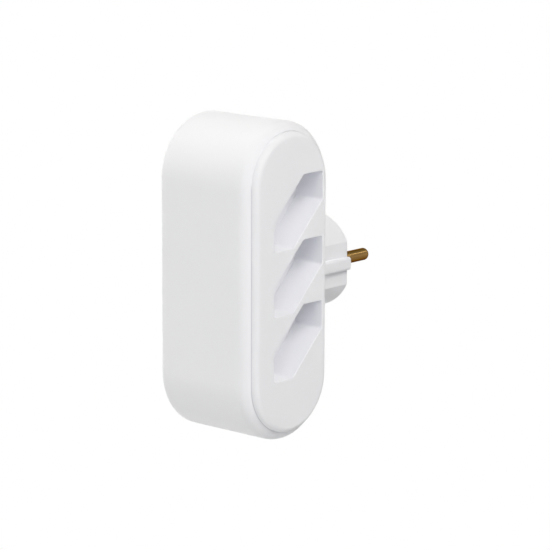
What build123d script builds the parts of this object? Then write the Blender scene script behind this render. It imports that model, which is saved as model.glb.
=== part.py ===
from build123d import *

import os
from math import cos, radians, sin, sqrt

os.makedirs("parts", exist_ok=True)

# A three-way side adapter for flat two-pole plugs. All sizes are in millimetres.
# The origin is on the plug's axis, on the face that its pins leave.
# The pins point along +Y, the sockets face +X, and +Z is up.

# Socket wells: six-sided recesses with right-angled tips, leaning towards the plug at the top
well_count = 3
well_pitch = 24.6
well_length = 38.35
well_width = 15.05
well_tilt = 45.0
well_depth = 13.2
well_tip_round = 0.9
well_shoulder_round = 1.5
well_mouth_round = 0.3
well_wall = 1.6
well_floor = 2.0

# Pins of the plugs that go in, and the holes that take them
socket_pin_spacing = 19.0
socket_hole_diameter = 5.2
socket_hole_lead_in = 0.6

# Plain land from the wells to the outside of the body
front_land = 13.4
back_land = 6.5
top_land = 20.05
bottom_land = 24.25

# Outer shell: a cup with a flat-sided, round-ended section, closed at one end
shell_length = 44.3
shell_wall = 2.4
closed_end_round = 4.4
mouth_round = 4.4
rim_width = 3.42
lip_depth = 2.6

# Socket panel: a lid in the shell's mouth
panel_gap = 0.1
panel_rise = 2.45
panel_round = 2.25
panel_thickness = 2.4
skirt_depth = 5.0
skirt_wall = 1.6
barb_reach = 0.7
barb_height = 2.2
barb_width = 8.0
barb_clearance = 0.1
barb_offset = 24.0

# Ribs inside the shell that carry the panel's skirt
rest_rib_thickness = 1.6
rest_rib_reach = 2.2
rest_rib_offset = 31.0

# Plug nose, and where its axis lies on the body
plug_radius = 18.25
plug_length = 16.7
plug_to_closed_end = 23.4
plug_above_middle = 0.9
plug_flat_depth = 2.0
plug_rib_width = 5.0
plug_rib_round = 1.0
plug_edge_round = 0.5
plug_wall = 2.0
plug_end_wall = 4.0
earth_clip_width = 8.0
earth_clip_floor = 15.4
earth_hole_diameter = 6.6
earth_hole_height = 10.0
earth_hole_wall = 1.4
spigot_step = 0.4
spigot_clearance = 0.15
snap_bead_reach = 0.5
snap_bead_length = 0.8
snap_bead_clearance = 0.05

# Plug pins
pin_spacing = 19.0
pin_diameter = 4.8
pin_length = 19.0
pin_tip_round = 1.7
pin_seat_diameter = 5.4
pin_seat_clearance = 0.02
collar_diameter = 7.2
collar_length = 1.6
tail_diameter = 4.0
tail_length = 9.0
tail_flat = 1.4

# Contact bars: brass strip, stamped and folded
bar_thickness = 0.8
bar_bend = 1.0
spine_width = 4.4
spine_end = 6.4
contact_width = 6.4
contact_leaf = 6.0
contact_pinch = 3.2
contact_pinch_height = 13.0
contact_mouth = 5.6
contact_clearance = 0.6
arm_width = 4.0
arm_end_gap = 0.8
riser_reach = 4.6
joggle_run = 3.2

# Posts in the shell that carry the bars, with pegs closed over them
post_diameter = 6.0
peg_diameter = 2.2
peg_clearance = 0.1
peg_head_diameter = 3.8
peg_head_height = 0.8
peg_inset = 3.2


def well_outline(grow=0.0):
    """A well's outline, moved outwards evenly by grow. Local X is the body's Y, local Y its Z."""
    half_width = well_width / 2 + grow
    tip = well_length / 2 + grow * sqrt(2)
    shoulder = tip - half_width
    right = [(shoulder, -half_width), (tip, 0), (shoulder, half_width)]
    left = [(-x, -y) for x, y in right]
    return Rot(0, 0, well_tilt) * Polygon(*right, *left, align=None)


# Sizes and places that follow from the ones above
well_box = well_outline().bounding_box().size
body_width = front_land + well_box.X + back_land
body_height = top_land + (well_count - 1) * well_pitch + well_box.Y + bottom_land

back_face = -plug_length
body_middle_y = back_face - body_width / 2
body_middle_z = -plug_above_middle
well_y = back_face - back_land - well_box.X / 2
top_well_z = body_middle_z + body_height / 2 - top_land - well_box.Y / 2
well_heights = [top_well_z - place * well_pitch for place in range(well_count)]

closed_end = -plug_to_closed_end
shell_floor = closed_end + shell_wall
mouth = closed_end + shell_length
lip_under = mouth - lip_depth
panel_face = mouth + panel_rise
panel_under = panel_face - panel_thickness
skirt_end = panel_under - skirt_depth
panel_inset = rim_width + panel_gap
well_floor_top = panel_face - well_depth
well_floor_under = well_floor_top - well_floor

plug_flat_distance = plug_radius - plug_flat_depth
plug_bore_radius = earth_clip_floor - plug_wall
spigot_radius = earth_clip_floor - spigot_step
tail_start = -plug_end_wall - collar_length

bar_top = -pin_spacing / 2 - tail_flat
bar_middle = bar_top - bar_thickness / 2
bar_under = bar_top - bar_thickness
contact_top = well_floor_under - contact_clearance
arm_end = tail_start - arm_end_gap
pole_step_y = socket_pin_spacing / 2 * cos(radians(well_tilt))
pole_step_z = socket_pin_spacing / 2 * sin(radians(well_tilt))


def facing_sockets(x, y=0.0, z=0.0):
    """A plane at (x, y, z) whose normal is +X, with local X along the body's Y and local Y along its Z."""
    return Plane(origin=(x, y, z), x_dir=(0, 1, 0), z_dir=(1, 0, 0))


def behind_plug(y, x=0.0, z=0.0):
    """A plane at (x, y, z) whose normal is -Y, with local X along the body's X and local Y along its Z."""
    return Plane(origin=(x, y, z), x_dir=(1, 0, 0), z_dir=(0, -1, 0))


def body_slab(inset, x_from, x_to):
    """The body's round-ended section, moved inwards by inset, from one X to another."""
    outline = SlotOverall(body_height - 2 * inset, body_width - 2 * inset, rotation=90)
    return extrude(facing_sockets(x_from, body_middle_y, body_middle_z) * outline, amount=x_to - x_from)


def block(x_range, y_range, z_range):
    """A box between two values on each axis."""
    size = [high - low for low, high in (x_range, y_range, z_range)]
    middle = [(high + low) / 2 for low, high in (x_range, y_range, z_range)]
    return Pos(*middle) * Box(*size)


def round_bar(plane, radius, length):
    """A cylinder that starts on a plane and runs along its normal."""
    return extrude(plane * Circle(radius), amount=length)


def bar_places(side):
    """Y of a contact bar and the heights of its contacts: side +1 is the plug's side, -1 the front."""
    return well_y + side * pole_step_y, [z + side * pole_step_z for z in well_heights]


def peg_heights(contact_heights):
    """Heights of the two pegs that hold a bar, just past its end contacts."""
    reach = contact_leaf / 2 + peg_inset
    return [min(contact_heights) - reach, max(contact_heights) + reach]


def bar_post(y, z):
    """A post on the shell's closed end, with a peg through the bar and a head closed over it."""
    post = round_bar(facing_sockets(shell_floor, y, z), post_diameter / 2, bar_under - shell_floor)
    peg = round_bar(facing_sockets(bar_under, y, z), peg_diameter / 2, bar_thickness)
    head = round_bar(facing_sockets(bar_top, y, z), peg_head_diameter / 2, peg_head_height)
    head = fillet(head.faces().sort_by(Axis.X)[-1].edges(), peg_head_height / 2)
    return post + peg + head


def rest_rib(side, z):
    """A rib on the front (-1) or back (+1) wall that the panel's skirt stands on."""
    wall_face = body_middle_y + side * (body_width / 2 - shell_wall)
    y_range = sorted([wall_face, wall_face - side * rest_rib_reach])
    z_range = (z - rest_rib_thickness / 2, z + rest_rib_thickness / 2)
    return block((shell_floor, skirt_end), y_range, z_range)


def make_outer_shell():
    shell = body_slab(0, closed_end, mouth)
    shell = fillet(shell.faces().sort_by(Axis.X)[0].edges(), closed_end_round)
    shell = fillet(shell.faces().sort_by(Axis.X)[-1].edges(), mouth_round)
    cavity = body_slab(shell_wall, shell_floor, lip_under)
    cavity = fillet(cavity.faces().sort_by(Axis.X)[0].edges(), closed_end_round - shell_wall)
    shell -= cavity
    shell -= body_slab(rim_width, lip_under, mouth)
    shell -= round_bar(behind_plug(back_face), spigot_radius + spigot_clearance, shell_wall)
    for side in (-1, 1):
        y, contact_heights = bar_places(side)
        for z in peg_heights(contact_heights):
            shell += bar_post(y, z)
        for offset in (-rest_rib_offset, rest_rib_offset):
            shell += rest_rib(side, body_middle_z + offset)
    return shell


def rounded_well_outline():
    """A well's outline with its shoulders rounded, and then the two tips, which lie farthest out."""
    outline = well_outline()
    outline = fillet(outline.vertices().sort_by_distance((0, 0, 0))[:-2], well_shoulder_round)
    return fillet(outline.vertices().sort_by_distance((0, 0, 0))[-2:], well_tip_round)


def well_cutter(z):
    """The space of one well, with a flange above the panel's face that rounds the mouth's edge."""
    shaft = extrude(facing_sockets(panel_face, well_y, z) * rounded_well_outline(), amount=-well_depth)
    flange = round_bar(facing_sockets(panel_face, well_y, z), well_length, well_mouth_round)
    cutter = shaft + flange
    edges_at_face = cutter.edges().filter_by_position(Axis.X, panel_face, panel_face)
    return fillet(edges_at_face.sort_by(SortBy.LENGTH)[:-1], well_mouth_round)


def socket_hole(y, z):
    """A pin hole in a well's floor, with a conical lead-in."""
    radius = socket_hole_diameter / 2
    hole = round_bar(facing_sockets(well_floor_under, y, z), radius, well_floor)
    lead_in = Cone(radius, radius + socket_hole_lead_in, socket_hole_lead_in)
    return hole + facing_sockets(well_floor_top - socket_hole_lead_in / 2, y, z) * lead_in


def snap_barb(side, z):
    """A barb on the panel's skirt that catches under the shell's lip."""
    skirt_face = body_middle_y + side * (body_width / 2 - panel_inset)
    top = lip_under - barb_clearance
    corners = [(top, skirt_face), (top, skirt_face + side * barb_reach), (top - barb_height, skirt_face)]
    outline = Polygon(*corners, align=None)
    return extrude(Plane.XY.offset(z - barb_width / 2) * outline, amount=barb_width)


def make_socket_panel():
    panel = body_slab(panel_inset, skirt_end, panel_face)
    panel = fillet(panel.faces().sort_by(Axis.X)[-1].edges(), panel_round)
    panel -= body_slab(panel_inset + skirt_wall, skirt_end, panel_under)
    inside_skirt = body_slab(panel_inset, well_floor_under, panel_under)
    for z in well_heights:
        walls = extrude(facing_sockets(well_floor_under, well_y, z) * well_outline(well_wall),
                        amount=panel_under - well_floor_under)
        panel += walls & inside_skirt
    for z in well_heights:
        panel -= well_cutter(z)
        for side in (-1, 1):
            panel -= socket_hole(well_y + side * pole_step_y, z + side * pole_step_z)
    for side in (-1, 1):
        for offset_z in (-barb_offset, barb_offset):
            panel += snap_barb(side, body_middle_z + offset_z)
    return panel


def plug_outline():
    """The nose's section: a circle with side flats, a guide rib on each flat, and earth clip channels."""
    circle = Circle(plug_radius)
    ribs = circle & Rectangle(2 * plug_radius, plug_rib_width)
    ribs = fillet(ribs.vertices(), plug_rib_round)
    outline = ribs + (circle & Rectangle(2 * plug_flat_distance, 2 * plug_radius))
    channel = Rectangle(earth_clip_width, plug_radius)
    for side in (-1, 1):
        outline -= Pos(0, side * (earth_clip_floor + plug_radius / 2)) * channel
    return outline


def make_plug_nose():
    nose = extrude(behind_plug(0) * plug_outline(), amount=plug_length)
    nose = fillet(nose.faces().sort_by(Axis.Y)[-1].edges(), plug_edge_round)
    bead_start = back_face - shell_wall - snap_bead_clearance
    spigot_end = bead_start - snap_bead_length
    nose += round_bar(behind_plug(back_face), spigot_radius, back_face - spigot_end)
    nose += round_bar(behind_plug(bead_start), spigot_radius + snap_bead_reach, snap_bead_length)
    nose -= round_bar(behind_plug(-plug_end_wall), plug_bore_radius, -plug_end_wall - spigot_end)
    tube_foot = behind_plug(-plug_end_wall, z=earth_hole_height)
    tube_length = plug_length - plug_end_wall
    tube = round_bar(tube_foot, earth_hole_diameter / 2 + earth_hole_wall, tube_length)
    nose += tube & round_bar(behind_plug(-plug_end_wall), spigot_radius, tube_length)
    hole_mouth = behind_plug(0, z=earth_hole_height)
    nose -= round_bar(hole_mouth, earth_hole_diameter / 2, plug_length - earth_hole_wall)
    for side in (-1, 1):
        seat = behind_plug(0, x=side * pin_spacing / 2)
        nose -= round_bar(seat, pin_seat_diameter / 2 + pin_seat_clearance, plug_end_wall)
    return nose


def make_plug_pin(side):
    """A turned pin: rounded free end, seat in the nose's end wall, collar behind it, flattened tail."""
    axis_x = side * pin_spacing / 2
    pin = round_bar(behind_plug(0, x=axis_x), pin_diameter / 2, -pin_length)
    pin = fillet(pin.faces().sort_by(Axis.Y)[-1].edges(), pin_tip_round)
    pin += round_bar(behind_plug(0, x=axis_x), pin_seat_diameter / 2, plug_end_wall)
    pin += round_bar(behind_plug(-plug_end_wall, x=axis_x), collar_diameter / 2, collar_length)
    beyond_flat = Pos(tail_diameter / 2 - tail_flat, 0) * Rectangle(tail_diameter, tail_diameter)
    tail = Circle(tail_diameter / 2) & beyond_flat
    return pin + extrude(behind_plug(tail_start, x=axis_x) * tail, amount=tail_length)


def folded_strip(points, width):
    """Strip of the bar's thickness along points in X and Y, folded at each corner, centred on Z = 0."""
    path = FilletPolyline(*points, radius=bar_bend)
    section = Plane(origin=path @ 0, x_dir=(0, 0, 1), z_dir=path % 0) * Rectangle(width, bar_thickness)
    return sweep(section, path=path)


def spring_contact(y, z):
    """Two leaves folded up from the spine, pinched together near the top and flared at the mouth."""
    foot = (contact_width - bar_thickness) / 2
    pinch = (contact_pinch + bar_thickness) / 2
    flare = (contact_mouth + bar_thickness) / 2
    half = [(bar_middle, foot), (bar_middle + contact_pinch_height, pinch), (contact_top, flare)]
    points = [(x, y - half_y) for x, half_y in reversed(half)] + [(x, y + half_y) for x, half_y in half]
    return Pos(0, 0, z) * folded_strip(points, contact_leaf)


def bar_spine(y, contact_heights):
    """The flat strip that joins a bar's contacts, with a peg hole at each end."""
    reach = contact_leaf / 2 + spine_end
    z_range = (min(contact_heights) - reach, max(contact_heights) + reach)
    spine = block((bar_under, bar_top), (y - spine_width / 2, y + spine_width / 2), z_range)
    for z in peg_heights(contact_heights):
        spine -= round_bar(facing_sockets(bar_under, y, z), peg_diameter / 2 + peg_clearance, bar_thickness)
    return spine


def make_contact_bar(side):
    """One pole: the bar beside the plug (+1) has a flat arm, the front one (-1) an arm folded over it."""
    y, contact_heights = bar_places(side)
    bar = bar_spine(y, contact_heights)
    for z in contact_heights:
        bar += spring_contact(y, z)
    if side > 0:
        return bar + block((bar_under, bar_top), (y, arm_end), (-arm_width / 2, arm_width / 2))
    high = contact_top - bar_thickness / 2
    at_pin = pin_spacing / 2 - tail_flat - bar_thickness / 2
    points = [(bar_middle, y), (bar_middle, y + riser_reach), (high, y + riser_reach), (high, back_face),
              (at_pin, back_face + joggle_run), (at_pin, arm_end)]
    return bar + folded_strip(points, arm_width)


parts = {
    "outer_shell": make_outer_shell(),
    "socket_panel": make_socket_panel(),
    "plug_nose": make_plug_nose(),
    "plug_pin_right": make_plug_pin(1),
    "plug_pin_left": make_plug_pin(-1),
    "contact_bar_back": make_contact_bar(1),
    "contact_bar_front": make_contact_bar(-1),
}

for name, part in parts.items():
    export_step(part, f"parts/{name}.step")
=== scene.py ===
from math import cos, radians, sin

import bpy
from mathutils import Matrix, Vector


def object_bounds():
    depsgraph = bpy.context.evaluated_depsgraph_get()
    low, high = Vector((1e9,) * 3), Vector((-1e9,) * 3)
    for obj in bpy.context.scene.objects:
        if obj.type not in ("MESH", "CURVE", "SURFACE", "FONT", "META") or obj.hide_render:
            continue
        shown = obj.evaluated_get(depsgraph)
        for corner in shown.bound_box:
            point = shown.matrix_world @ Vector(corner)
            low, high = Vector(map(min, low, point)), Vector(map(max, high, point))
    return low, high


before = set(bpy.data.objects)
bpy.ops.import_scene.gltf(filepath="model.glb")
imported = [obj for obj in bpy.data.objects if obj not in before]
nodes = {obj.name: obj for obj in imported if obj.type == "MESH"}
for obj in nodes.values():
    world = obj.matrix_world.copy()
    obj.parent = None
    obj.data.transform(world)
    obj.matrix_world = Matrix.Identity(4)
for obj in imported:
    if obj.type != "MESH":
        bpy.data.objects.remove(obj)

cad_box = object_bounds()
scene = bpy.context.scene

# Camera: where it stands as seen from the object, and the lens that gives the picture's frame
CAMERA_AZIMUTH = 41.345
CAMERA_ELEVATION = 11.687
CAMERA_ROLL = 0.181
CAMERA_DISTANCE = 1.0188
CAMERA_AIM = Vector((0.01688, -0.04267, 0.00184))
CAMERA_LENS = 179.76
SENSOR_WIDTH = 36.0

# Floor: it lies below the adapter, which a wall socket holds up
FLOOR_DROP = 0.20
FLOOR_SIZE = 12.0
FLOOR_COLOUR = (0.745, 0.745, 0.745, 1.0)

# Tints of the light: a cool fill gives the shade in the sockets its blue, and a warm front makes up for it
NEUTRAL_TINT = (1.0, 0.998, 0.957)
KEY_TINT = (1.0, 0.985, 0.94)
FRONT_TINT = (1.0, 0.985, 0.85)
FILL_TINT = (0.45, 0.61, 1.0)

# Studio lamps: soft discs, each with azimuth and elevation from the object, width, power in watts and tint
LAMP_DISTANCE = 1.6
LAMPS = {
    "front": (0.0, 5.0, 1.0, 4.15, FRONT_TINT),
    "fill": (30.0, 5.0, 1.0, 1.5, FILL_TINT),
    "front_left": (-60.0, 5.0, 1.0, 5.9, KEY_TINT),
    "high_front_right": (60.0, 45.0, 1.0, 11.4, KEY_TINT),
    "high_right": (90.0, 45.0, 1.0, 6.1, KEY_TINT),
    "high_left": (-90.0, 45.0, 1.0, 7.3, NEUTRAL_TINT),
    "overhead": (90.0, 65.0, 1.0, 2.0, KEY_TINT),
    "left": (-90.0, 5.0, 1.0, 3.0, NEUTRAL_TINT),
    "back": (-135.0, 5.0, 1.0, 3.0, NEUTRAL_TINT),
    "glint": (153.0, 32.0, 0.26, 0.75, NEUTRAL_TINT),
}

# Backdrop: its even light, the sines of elevation between which a ceiling begins, and the ceiling's shade
WORLD_STRENGTH = 0.1
WHITE = (1.0, 1.0, 1.0, 1.0)
BACKDROP_TOP = (0.25, 0.6)
CEILING_SHADE = 0.5

# Plastic: whites with a trace of blue, the plug's darkened as painted shade
BODY_COLOUR = (0.945, 0.947, 0.988)
NOSE_SHADED_COLOUR = (0.896, 0.897, 0.937)
PLASTIC_ROUGHNESS = (0.56, 0.64)
PLASTIC_IOR = 1.45
PLASTIC_SPECULAR = 0.12

# Surface of the plastic: clouds of a paler tint, and moulded grain; a scale counts changes for each metre
CLOUD_SCALE = 35.0
CLOUD_DETAIL = 3.0
CLOUD_PALER = 1.008
GRAIN_SCALE = 2600.0
GRAIN_DETAIL = 2.0
GRAIN_STRENGTH = 0.25
GRAIN_DEPTH = 0.00003

# Parting line: how far the panel lies inside the shell's outline, and the shade painted into the seam
# along its foot
PANEL_INSET = 0.00352
FOOT_BORDER = 0.0005
SEAM_SHADE_FULL = 0.00015
SEAM_SHADE_CLEAR = 0.00045
SEAM_SHADE_COLOUR = (0.80, 0.80, 0.86)
ARCH_FADE = 0.003

# Brass: for the pins and the contact bars, a dark tint, a light tint and the tint at the edges
PIN_BRASS = (0.10, 0.032, 0.010), (0.385, 0.252, 0.095), (0.27, 0.20, 0.10)
CONTACT_BRASS = (0.48, 0.33, 0.12), (0.70, 0.52, 0.22), (0.80, 0.65, 0.35)
BRASS_ROUGHNESS = (0.16, 0.3)

# Surface of the brass: streaks along the pins, and fine rings; a scale counts changes for each metre
STREAK_SCALE = (900.0, 60.0, 900.0)
STREAK_DETAIL = 4.0
RING_SCALE = 1500.0
RING_DETAIL = 2.0
RING_WANDER = 1.5
RING_STRENGTH = 0.2
RING_DEPTH = 0.00002

# Painted light on the pins: the heights between which their brass is painted from darker to brighter, and
# by how much
PAINTED_LIGHT_HEIGHTS = (-0.001, 0.002)
PAINTED_LIGHT_TURNS = (-0.19, 0.38)


def direction(azimuth, elevation):
    """A unit vector from the object: azimuth 0 is -Y, 90 is +X."""
    a, e = radians(azimuth), radians(elevation)
    return Vector((sin(a) * cos(e), -cos(a) * cos(e), sin(e)))


def facing(place, target, roll=0.0):
    """A matrix at place that looks at target along its own -Z, with +Z of the world upwards."""
    turn = (target - place).to_track_quat("-Z", "Y").to_matrix().to_4x4()
    return Matrix.Translation(place) @ turn @ Matrix.Rotation(radians(roll), 4, "Z")


def make_camera():
    """The camera at the picture's viewing angle."""
    data = bpy.data.cameras.new("camera")
    data.sensor_width = SENSOR_WIDTH
    data.lens = CAMERA_LENS
    data.clip_end = 2 * FLOOR_SIZE
    camera = bpy.data.objects.new("camera", data)
    scene.collection.objects.link(camera)
    place = CAMERA_AIM + CAMERA_DISTANCE * direction(CAMERA_AZIMUTH, CAMERA_ELEVATION)
    camera.matrix_world = facing(place, CAMERA_AIM, CAMERA_ROLL)
    scene.camera = camera


def make_lamps():
    """The studio lamps, all turned to the object."""
    for name, (azimuth, elevation, width, power, tint) in LAMPS.items():
        data = bpy.data.lights.new(name, "AREA")
        data.shape = "DISK"
        data.size = width
        data.color = tint
        data.energy = power
        lamp = bpy.data.objects.new(name, data)
        scene.collection.objects.link(lamp)
        place = CAMERA_AIM + LAMP_DISTANCE * direction(azimuth, elevation)
        lamp.matrix_world = facing(place, CAMERA_AIM)


def new_node_tree(owner):
    """Empties the node tree of a material or world and returns a function that adds nodes to it."""
    owner.use_nodes = True
    tree = owner.node_tree
    tree.nodes.clear()

    def add(kind, inputs=None, **settings):
        node = tree.nodes.new(kind)
        for key, value in settings.items():
            setattr(node, key, value)
        for key, value in (inputs or {}).items():
            if isinstance(value, bpy.types.NodeSocket):
                tree.links.new(value, node.inputs[key])
            else:
                node.inputs[key].default_value = value
        return node

    return add


def calculate(add, operation, first, second=0.0):
    """One step of arithmetic on one or two numbers, each a value or another node's output."""
    return add("ShaderNodeMath", {0: first, 1: second}, operation=operation).outputs[0]


def ramp(add, value, start, end, low, high, **settings):
    """Turns start to end into low to high, and holds a value beyond them at the nearer one."""
    inputs = {"Value": value, "From Min": start, "From Max": end, "To Min": low, "To Max": high}
    return add("ShaderNodeMapRange", inputs, **settings).outputs["Result"]


def blend(add, share, first, second):
    """A colour that turns from the first to the second as the share goes from 0 to 1."""
    inputs = {"Factor": share, "A": first, "B": second}
    return add("ShaderNodeMix", inputs, data_type="RGBA").outputs["Result"]


def opaque(colour):
    """A colour with full alpha."""
    return (*colour, 1.0)


def noise(add, place, scale, detail):
    """A soft random pattern from 0 to 1."""
    return add("ShaderNodeTexNoise", {"Vector": place, "Scale": scale, "Detail": detail}).outputs["Fac"]


def seen_directly(add):
    """1 for rays from the camera and for those mirrored or passed on by the object, else 0."""
    path = add("ShaderNodeLightPath").outputs
    mirrored = calculate(add, "MAXIMUM", path["Is Camera Ray"], path["Is Glossy Ray"])
    return calculate(add, "MAXIMUM", mirrored, path["Is Transmission Ray"])


def make_world():
    """Even light from all round; seen directly, it is a white backdrop that ends in a dim ceiling."""
    world = bpy.data.worlds.new("studio")
    scene.world = world
    add = new_node_tree(world)
    light = add("ShaderNodeBackground", {"Color": opaque(NEUTRAL_TINT), "Strength": WORLD_STRENGTH})
    ray = add("ShaderNodeTexCoord").outputs["Generated"]
    height = add("ShaderNodeSeparateXYZ", {0: ray}).outputs["Z"]
    shade = ramp(add, height, *BACKDROP_TOP, 1.0, CEILING_SHADE, interpolation_type="SMOOTHSTEP")
    backdrop = add("ShaderNodeBackground", {"Color": WHITE, "Strength": shade})
    mix = add("ShaderNodeMixShader", {0: seen_directly(add), 1: light.outputs[0], 2: backdrop.outputs[0]})
    add("ShaderNodeOutputWorld", {"Surface": mix.outputs[0]})


def make_floor():
    """A pale floor below the adapter, white where it is seen directly."""
    half = FLOOR_SIZE / 2
    height = cad_box[0][2] - FLOOR_DROP
    corners = [(-half, -half, height), (half, -half, height), (half, half, height), (-half, half, height)]
    mesh = bpy.data.meshes.new("floor")
    mesh.from_pydata(corners, [], [(0, 1, 2, 3)])
    material = bpy.data.materials.new("floor")
    add = new_node_tree(material)
    matt = add("ShaderNodeBsdfDiffuse", {"Color": FLOOR_COLOUR})
    white = add("ShaderNodeEmission", {"Color": WHITE, "Strength": 1.0})
    mix = add("ShaderNodeMixShader", {0: seen_directly(add), 1: matt.outputs[0], 2: white.outputs[0]})
    add("ShaderNodeOutputMaterial", {"Surface": mix.outputs[0]})
    mesh.materials.append(material)
    floor = bpy.data.objects.new("floor", mesh)
    scene.collection.objects.link(floor)


def panel_outline():
    """The middle of the panel's foot, half the length of its straight sides and half its width."""
    corners = [Vector(corner) for corner in nodes["outer_shell"].bound_box]
    low = Vector([min(values) for values in zip(*corners)])
    high = Vector([max(values) for values in zip(*corners)])
    middle = (low + high) / 2
    size = high - low
    foot = Vector((high.x, middle.y, middle.z))
    return foot, (size.z - size.y) / 2, size.y / 2 - PANEL_INSET


def painted_seam_shade(add, place):
    """1 along the panel's foot, where shade is painted into the seam, except on its upper round end, and 0
    elsewhere.
    """
    foot, half_straight, half_width = panel_outline()
    moved = add("ShaderNodeVectorMath", {0: place, 1: foot}, operation="SUBTRACT").outputs[0]
    part = add("ShaderNodeSeparateXYZ", {0: moved}).outputs
    past_straight = calculate(add, "SUBTRACT", calculate(add, "ABSOLUTE", part["Z"]), half_straight)
    round_end = calculate(add, "MAXIMUM", past_straight, 0.0)
    outwards = add("ShaderNodeCombineXYZ", {"X": part["Y"], "Y": round_end}).outputs[0]
    reach = add("ShaderNodeVectorMath", {0: outwards}, operation="LENGTH").outputs["Value"]
    border = calculate(add, "GREATER_THAN", reach, half_width - FOOT_BORDER)
    shade_by_height = ramp(add, part["X"], SEAM_SHADE_FULL, SEAM_SHADE_CLEAR, 1.0, 0.0)
    below_arch = ramp(add, part["Z"], half_straight, half_straight + ARCH_FADE, 1.0, 0.0)
    return calculate(add, "MULTIPLY", calculate(add, "MULTIPLY", border, shade_by_height), below_arch)


def moulded_plastic(name, colour, panel=False):
    """Satin white plastic: fine moulded grain, and faint changes of tint and gloss across the surface."""
    material = bpy.data.materials.new(name)
    add = new_node_tree(material)
    place = add("ShaderNodeTexCoord").outputs["Object"]
    clouds = noise(add, place, CLOUD_SCALE, CLOUD_DETAIL)
    grain = noise(add, place, GRAIN_SCALE, GRAIN_DETAIL)
    paler = [min(1.0, CLOUD_PALER * channel) for channel in colour]
    tint = blend(add, clouds, opaque(colour), opaque(paler))
    if panel:
        # The panel's colour turns to a painted shade along the seam at its foot
        tint = blend(add, painted_seam_shade(add, place), tint, opaque(SEAM_SHADE_COLOUR))
    bump = add("ShaderNodeBump", {"Height": grain, "Strength": GRAIN_STRENGTH, "Distance": GRAIN_DEPTH})
    shader = add("ShaderNodeBsdfPrincipled", {
        "Base Color": tint,
        "Roughness": ramp(add, clouds, 0.0, 1.0, *PLASTIC_ROUGHNESS),
        "Normal": bump.outputs["Normal"],
        "IOR": PLASTIC_IOR,
        "Specular IOR Level": PLASTIC_SPECULAR,
    })
    add("ShaderNodeOutputMaterial", {"Surface": shader.outputs[0]})
    return material


def drawn_brass(name, dark, light, edge, painted_top_light=False):
    """Brass with lengthwise streaks of a duller, browner tint, fine rings from the tool and tinted edges.

    When asked, the brass is painted brighter on its upper side and darker below, as painted light and
    shade.
    """
    material = bpy.data.materials.new(name)
    add = new_node_tree(material)
    place = add("ShaderNodeTexCoord").outputs["Object"]
    stretched = add("ShaderNodeMapping", {"Vector": place, "Scale": STREAK_SCALE}).outputs["Vector"]
    streaks = noise(add, stretched, 1.0, STREAK_DETAIL)
    rings = add("ShaderNodeTexWave", {
        "Vector": place,
        "Scale": RING_SCALE,
        "Distortion": RING_WANDER,
        "Detail": RING_DETAIL,
    }, wave_type="BANDS", bands_direction="Y").outputs["Fac"]
    share = streaks
    if painted_top_light:
        # Painted light and shade: the brass turns lighter towards the top and darker towards the bottom
        height = add("ShaderNodeSeparateXYZ", {0: place}).outputs["Z"]
        share = calculate(add, "ADD", streaks, ramp(add, height, *PAINTED_LIGHT_HEIGHTS, *PAINTED_LIGHT_TURNS))
    bump = add("ShaderNodeBump", {"Height": rings, "Strength": RING_STRENGTH, "Distance": RING_DEPTH})
    shader = add("ShaderNodeBsdfPrincipled", {
        "Base Color": blend(add, share, opaque(dark), opaque(light)),
        "Metallic": 1.0,
        "Specular Tint": opaque(edge),
        "Roughness": ramp(add, streaks, 0.0, 1.0, *BRASS_ROUGHNESS),
        "Normal": bump.outputs["Normal"],
    })
    add("ShaderNodeOutputMaterial", {"Surface": shader.outputs[0]})
    return material


def dress(material, *names):
    """Gives CAD nodes their material."""
    for name in names:
        nodes[name].data.materials.clear()
        nodes[name].data.materials.append(material)


dress(moulded_plastic("shell_plastic", BODY_COLOUR), "outer_shell")
dress(moulded_plastic("panel_plastic", BODY_COLOUR, panel=True), "socket_panel")
# The plug's darker white is painted shade
dress(moulded_plastic("nose_plastic", NOSE_SHADED_COLOUR), "plug_nose")
dress(drawn_brass("pin_brass", *PIN_BRASS, painted_top_light=True), "plug_pin_right", "plug_pin_left")
dress(drawn_brass("contact_brass", *CONTACT_BRASS), "contact_bar_back", "contact_bar_front")

make_world()
make_floor()
make_lamps()
make_camera()
scene.view_settings.view_transform = "Standard"
